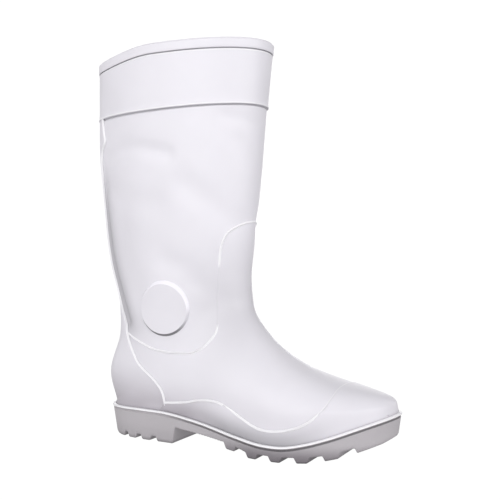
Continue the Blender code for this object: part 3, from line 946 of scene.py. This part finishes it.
def knit(name, colour, pitch, depth):
    """Fabric with fine crossing ribs, with painted shade between them."""
    material, tree, shader = new_material(name)
    where = add_node(tree, "TexCoord", {}).outputs["Object"]
    inputs = {"Vector": where, "Scale": WAVE_LENGTH / (pitch * MM), "Distortion": 1, "Detail": 1}
    waves = [add_node(tree, "TexWave", inputs, bands_direction=way).outputs["Fac"] for way in ("X", "Z")]
    weave = add_math(tree, "MULTIPLY", *waves)
    feed(tree, shader, {
        "Base Color": add_ramp(tree, weave, 0, [KNIT_RIB_SHADE * part for part in colour], 1, colour),
        "Normal": add_bump(tree, weave, KNIT_BUMP, depth),
        "Roughness": 0.9,
        "Sheen Weight": 0.3,
    })
    return material


def upper_stations():
    """The grid's own rows, with close ones at the groove under the collar band."""
    close = BAND + np.arange(*CLOSE_ROWS) / SHAFT_SCALE
    gap = CLOSE_GAP / SHAFT_SCALE
    away = STATIONS[(STATIONS < close[0] - gap) | (STATIONS > close[-1] + gap)]
    return np.sort(np.concatenate([away, close]))


def build_upper(white, lining):
    stations = upper_stations()[:, None]
    above = (stations - BAND) * SHAFT_SCALE
    groove = np.exp(-((above + SEAM_TALL / 2) / (SEAM_TALL / 2)) ** 4)
    grid = surface(stations, np.arange(LAST_COLUMN + 1), -SEAM_DEEP * groove)
    upper = Shape().add(grid).build("upper_shell", white, closed=False)
    # Painted shade beside the back strip and in the bend of the ankle
    paint_shade_and_highlight(upper, painted_shade_at(points_of(upper)))
    thicken(upper, WALL, lining)
    ride(upper, "white_pvc", "upper")


def add_ring(shape, profile, start):
    """Closed ring round the shaft with a profile of heights above a station and distances out."""
    heights = start + column(profile, 0)[:, None] / SHAFT_SCALE
    grid = surface(heights, np.arange(LAST_COLUMN), column(profile, 1)[:, None])
    return shape.add(grid, closed_rows=True, closed_columns=True)


def build_collar(white, highlight):
    tall = (RIM_FROM - BAND) * SHAFT_SCALE - RIM_SEAM
    face = [(height, BAND_FACE) for height in np.linspace(BAND_FACE_FROM, tall - BAND_EDGE, BAND_FACE_ROWS)]
    edge = [(tall + height, out) for height, out in BAND_TOP]
    band = add_ring(Shape(), [*BAND_LIP, *face, *edge], BAND)
    ride(band.build("collar_band_moulding", white, closed=True), "white_pvc", "collar_band")
    beads = add_ring(Shape(), BAND_BEAD, BAND)
    add_ring(beads, BAND_TOP_BEAD, BAND + tall / SHAFT_SCALE)
    ride(beads.build("collar_band_edges", highlight, closed=True), "white_pvc")
    rim = add_ring(Shape(), RIM_PROFILE, RIM_FROM)
    ride(rim.build("collar_rim_roll", white, closed=True), "white_pvc", "collar_rim")


def build_heel_counter(white, highlight):
    edge = panel_edge(COUNTER_LINE)
    counter = build_panel("heel_counter_panel", white, edge, lambda points: PANEL)
    ride(counter, "white_pvc", "heel_counter")
    shares = rising(surface(edge[:, 0], edge[:, 1]), COUNTER_BEAD_RISE)
    build_edge("heel_counter_edge", highlight, edge, COUNTER_BEAD, shares)


def cap_lift(points):
    """How far the rand and the toe cap stand out."""
    return PANEL * (1 - CAP_THINNER * smooth_step(points[..., 2], *CAP_THINNER_Z))


def build_toe_cap(rand, white, highlight):
    edge = panel_edge(CAP_LINE)
    toe = np.array([(s, HALF_COLUMNS) for s in STATIONS if s < edge[:, 0].min() - TOE_GAP])
    cap = build_panel("toe_cap_panel", rand, np.vstack([edge, toe]), cap_lift)
    # Painted shade on the rand next to the welt
    paint_shade_and_highlight(cap, rand_painted_shade_at(points_of(cap)))
    ride(cap, "white_pvc", "toe_cap")
    x, _, z = surface(edge[:, 0], edge[:, 1]).T
    seam = smooth_step(z, *RAND_BEAD_Z) * (x > FOOT / 2)
    build_edge("toe_cap_edge", highlight, edge, RAND_BEAD, 1 - seam)
    build_edge("toe_cap_seam", white, edge, CAP_SEAM, seam)


def build_shin_line(white, highlight):
    """Raised line on both sides, which is only a faint seam beside the ankle."""
    bead = Shape()
    seam = Shape()
    for side in (1, -1):
        line = smooth_rows(sample_line(np.array(SHIN_LINE) * (1, side, 1)), SHIN_ROUNDS)
        points, normals = on_surface(line)
        along = arc_length(points)
        heights = hermite(column(SHIN_RELIEF, 0), column(SHIN_RELIEF, 1), along / along[-1])
        add_bead(bead, points, normals, SHIN_WIDE, heights * rising(points[::-1], SHIN_END)[::-1])
        add_bead(seam, points, normals, SHIN_SEAM_WIDE, np.full(len(points), SHIN_SEAM_HIGH))
    ride(bead.build("shin_line", highlight, closed=True), "white_pvc")
    faint = seam.build("shin_line_seam", white, closed=True)
    # Painted shade beside the back strip, as on the wall around it
    paint_shade_and_highlight(faint, painted_shade_at(points_of(faint)))
    ride(faint, "white_pvc")


def disc_face_radius(angles):
    """Radius of an ankle disc's flat face, inside its sloping edge."""
    lean = np.sin(angles + DISC_TURN)
    wider = np.where(lean > 0, DISC_SLOPE_ABOVE * lean, DISC_SLOPE_BELOW * lean ** 2)
    return DISC_RADIUS - DISC_SLOPE - wider


def disc_shade_and_highlight(points):
    """Share of painted light that the edge of an ankle disc adds: painted shade below, painted highlight
    above.
    """
    x, _, z = (points - (DISC_X, 0, DISC_Z)).T
    angle = np.arctan2(z, x)
    lean = np.sin(angle + DISC_TURN)
    edge = smooth_step(np.hypot(x, z) - disc_face_radius(angle), 0, DISC_SOFT)
    painted_light = DISC_PAINTED_SHADE * smooth_step(-lean, *DISC_PAINTED_SHADE_LEAN)
    return edge * (painted_light - DISC_PAINTED_HIGHLIGHT * smooth_step(lean, *DISC_PAINTED_HIGHLIGHT_LEAN))


def build_ankle_disc(name, node, side, white):
    """Flat disc with a sloping edge, which follows the wall."""
    angles = np.linspace(0, 2 * np.pi, DISC_POINTS, endpoint=False)
    face = disc_face_radius(angles)
    profile = [(share * face, DISC_HIGH) for share in DISC_FACE]
    profile += [(face + share * (DISC_RADIUS - face), high * DISC_HIGH) for share, high in DISC_EDGE]
    rows = []
    for radius, height in profile:
        x = DISC_X + radius * np.cos(angles)
        z = DISC_Z + radius * np.sin(angles)
        starts = [Vector((a, side * FOOT, b)) for a, b in zip(x, z)]
        hits = [SURFACE_TREE.ray_cast(start, Vector((0, -side, 0)))[0] for start in starts]
        rows.append(np.array(hits) + np.array([0, side, 0]) * height)
    disc = Shape().add(np.array(rows), closed_columns=True)
    disc.cap(rows[-1])
    pad = disc.build(name, white, closed=True)
    points = points_of(pad)
    # Painted shade under the disc's edge and painted highlight on its upper edge
    paint_shade_and_highlight(pad, painted_shade_at(points) + disc_shade_and_highlight(points))
    ride(pad, "white_pvc", node)


def sole_rows():
    """Stations of the sole's rows: close along the tread and round at heel and toe."""
    along = foot_station(np.arange(SOLE_HEEL, FOOT - SOLE_TOE, SOLE_STEP))
    heel = np.linspace(along.max(), np.pi, END_ROWS + 1)[1:]
    toe = np.linspace(0, along.min(), END_ROWS + 1)[:-1]
    return np.sort(np.concatenate([along, heel, toe]))


def tread_height():
    """Underside of the sole with grooves, ribs and rounded edges, as a table along x."""
    x = np.arange(*TREAD_ENDS, TREAD_STEP)
    z = np.interp(x, column(TREAD, 0), column(TREAD, 1))
    for middle, width, depth in GROOVES:
        away = np.abs(x - middle)
        z = z + depth * (1 - smooth_step(away, width / 2 - GROOVE_SLOPE / 2, width / 2 + GROOVE_SLOPE / 2))
    ribs = smooth_step(x, RIB_FROM, RIB_FROM + RIB_FADE) * (1 - smooth_step(x, RIB_TO - RIB_FADE, RIB_TO))
    z = z - ribs * RIB_DEEP * (0.5 + 0.5 * np.sin(2 * np.pi * x / RIB_PITCH))
    kernel = np.exp(-(np.arange(-TREAD_REACH, TREAD_REACH + 1) * TREAD_STEP / TREAD_ROUND) ** 2)
    padded = np.pad(z, TREAD_REACH, mode="edge")
    return x, np.convolve(padded, kernel / kernel.sum(), mode="valid")


def between(first, second, shares):
    """Grid of points from one row of points to another, at shares of the way."""
    shares = shares[None, :, None]
    return first[:, None] * (1 - shares) + second[:, None] * shares


def sole_side(stations, side, tread):
    """One side of the sole, from under the upper over the welt and its groove down to the tread."""
    base, normal = sole_line(stations, side)
    x = foot_x(stations)
    top = seat(x) + SOLE_LIFT
    deepen = HEEL_GROOVE + (1 - HEEL_GROOVE) * smooth_step(x, *DEEPEN_X)[:, None]
    columns = []
    for margin, depth in WELT_PROFILE:
        if depth > GROOVE_TOP:
            margin = GROOVE_LIP + (margin - GROOVE_LIP) * deepen
        columns.append(np.column_stack([base + margin * normal, top - depth]))
    last_margin, last_depth = WELT_PROFILE[-1]
    below = top - last_depth
    tall = below - np.interp((base + last_margin * normal)[:, 0], *tread)
    for level in np.linspace(0, 1, SIDE_LEVELS + 1)[1:]:
        rounding = SOLE_ROUND * smooth_step(level, SOLE_ROUND_FROM, 1.0) ** 2
        margin = last_margin - SOLE_TAPER * tall * level - rounding
        flat = base + margin[:, None] * normal
        bottom = np.interp(flat[:, 0], *tread)
        columns.append(np.column_stack([flat, below + (bottom - below) * level]))
    return np.stack(columns, axis=1)


def build_outsole(material):
    tread = tread_height()
    outer, inner = [sole_side(sole_rows(), side, tread) for side in (-1, 1)]
    under = between(outer[:, -1, :2], inner[:, -1, :2], np.linspace(0, 1, UNDER_COLUMNS + 2)[1:-1])
    under = np.concatenate([under, np.interp(under[..., :1], *tread)], axis=2)
    rows = np.concatenate([outer, under, inner[:, ::-1]], axis=1)
    sole = Shape().add(rows, closed_columns=True)
    ride(sole.build("outsole_moulding", material, closed=True), "sole_pvc", "outsole")


def build_welt_edge(material):
    """White edge of the welt, all round the sole."""
    stations = sole_rows()
    top = seat(foot_x(stations)) + SOLE_LIFT
    sides = []
    for side in (-1, 1):
        base, normal = sole_line(stations, side)
        columns = [np.column_stack([base + margin * normal, top - depth]) for margin, depth in WELT_EDGE]
        sides.append(np.stack(columns, axis=1))
    outer, inner = sides
    loop = np.concatenate([outer, inner[-2:0:-1]])
    edge = Shape().add(loop, closed_rows=True, closed_columns=True)
    ride(edge.build("welt_edge", material, closed=True), "white_pvc")


def build_insole(material):
    """Sock on the sole inside, turned up a little along its edge."""
    edges = []
    for side in (-1, 1):
        base, normal = sole_line(np.linspace(0, np.pi, INSOLE_ROWS), side)
        edges.append(base - INSOLE_MARGIN * normal)
    shares = np.linspace(-1, 1, INSOLE_COLUMNS)
    flat = between(*edges, (1 + shares) / 2)
    lip = INSOLE_LIP * np.abs(shares) ** INSOLE_LIP_POWER
    z = seat(flat[..., 0]) + INSOLE_THICK - INSOLE_SUNK + lip
    sheet = Shape().add(np.concatenate([flat, z[..., None]], axis=2))
    insole = sheet.build("insole_sock", material, closed=False)
    thicken(insole, INSOLE_THICK - INSOLE_CLEAR)
    ride(insole, "insole_foam", "insole")


def add_camera():
    """Level camera at the photo's angle to the outer side."""
    azimuth = np.radians(CAMERA_AZIMUTH)
    away = CAMERA_AWAY * np.array([np.sin(azimuth), -np.cos(azimuth), 0])
    data = bpy.data.cameras.new("camera")
    data.sensor_width = SENSOR
    data.lens = SENSOR * FOCAL_PIXELS / FRAME_PIXELS
    data.clip_start = CLIP_START * MM
    camera = add_object("camera", data)
    camera.location = Vector(place(CAMERA_TARGET + away))
    look = Vector(place(CAMERA_TARGET)) - camera.location
    camera.rotation_euler = look.to_track_quat("-Z", "Y").to_euler()
    bpy.context.scene.camera = camera


def brightness(tree, as_light, to_the_eye):
    """Brightness that differs between what a surface lights and how it looks."""
    path = add_node(tree, "LightPath", {})
    return add_range(tree, path.outputs["Is Camera Ray"], 0, 1, as_light, to_the_eye)


def add_floor():
    """White floor that glows like a light table: brighter to the eye than as a light."""
    mesh = bpy.data.meshes.new("floor")
    half = FLOOR_HALF * MM
    corners = [(-half, -half, 0), (half, -half, 0), (half, half, 0), (-half, half, 0)]
    mesh.from_pydata(corners, [], [(0, 1, 2, 3)])
    material, tree, shader = new_material("floor")
    feed(tree, shader, {
        "Base Color": (FLOOR_TONE, FLOOR_TONE, FLOOR_TONE, 1),
        "Roughness": 0.9,
        "Specular IOR Level": 0.0,
        "Emission Color": (1, 1, 1, 1),
        "Emission Strength": brightness(tree, FLOOR_LIGHT, FLOOR_GLOW),
    })
    mesh.materials.append(material)
    floor = add_object("floor", mesh)


def add_lamp(name, turn, rise, strength):
    """Large soft lamp far away."""
    data = bpy.data.lights.new(name, "SUN")
    data.energy = strength
    data.angle = np.radians(LAMP_SPREAD)
    turn = np.radians(CAMERA_AZIMUTH + turn)
    rise = np.radians(rise)
    direction = Vector((np.sin(turn) * np.cos(rise), -np.cos(turn) * np.cos(rise), np.sin(rise)))
    add_object(name, data).rotation_euler = (-direction).to_track_quat("-Z", "Y").to_euler()


def add_studio():
    """White surroundings, dimmer as a light than as a background, and soft lamps all round."""
    world = bpy.data.worlds.new("studio")
    bpy.context.scene.world = world
    world.use_nodes = True
    tree = world.node_tree
    strength = brightness(tree, FILL, BACKGROUND)
    feed(tree, tree.nodes["Background"], {"Color": (1, 1, 1, 1), "Strength": strength})
    for lamp in LAMPS:
        add_lamp(*lamp)
    bpy.context.scene.view_settings.view_transform = "Standard"


# Copies of the white PVC that differ only in their painted shade towards the sole
white_pvc = pvc("white_pvc", *WHITE_PVC, *UPPER_LOW_SHADE)
counter_pvc = pvc("counter_pvc", *WHITE_PVC, *COUNTER_LOW_SHADE)
rand_pvc = pvc("rand_pvc", *WHITE_PVC, *RAND_LOW_SHADE)
# Lighter copy of the white PVC: painted highlight on beads and edges
highlight_pvc = pvc("highlight_pvc", *HIGHLIGHT_PVC)
sole_pvc = pvc("sole_pvc", *SOLE_PVC, *SOLE_LOW_SHADE)
lining = knit("lining_knit", *LINING_KNIT)
sock = knit("sock_knit", *SOCK_KNIT)

build_upper(white_pvc, lining)
build_collar(white_pvc, highlight_pvc)
build_heel_counter(counter_pvc, highlight_pvc)
build_toe_cap(rand_pvc, white_pvc, highlight_pvc)
build_shin_line(white_pvc, highlight_pvc)
for node, side in (("ankle_disc_outer", -1), ("ankle_disc_inner", 1)):
    build_ankle_disc(node + "_pad", node, side, white_pvc)
build_outsole(sole_pvc)
build_welt_edge(highlight_pvc)
build_insole(sock)
add_camera()
add_floor()
add_studio()
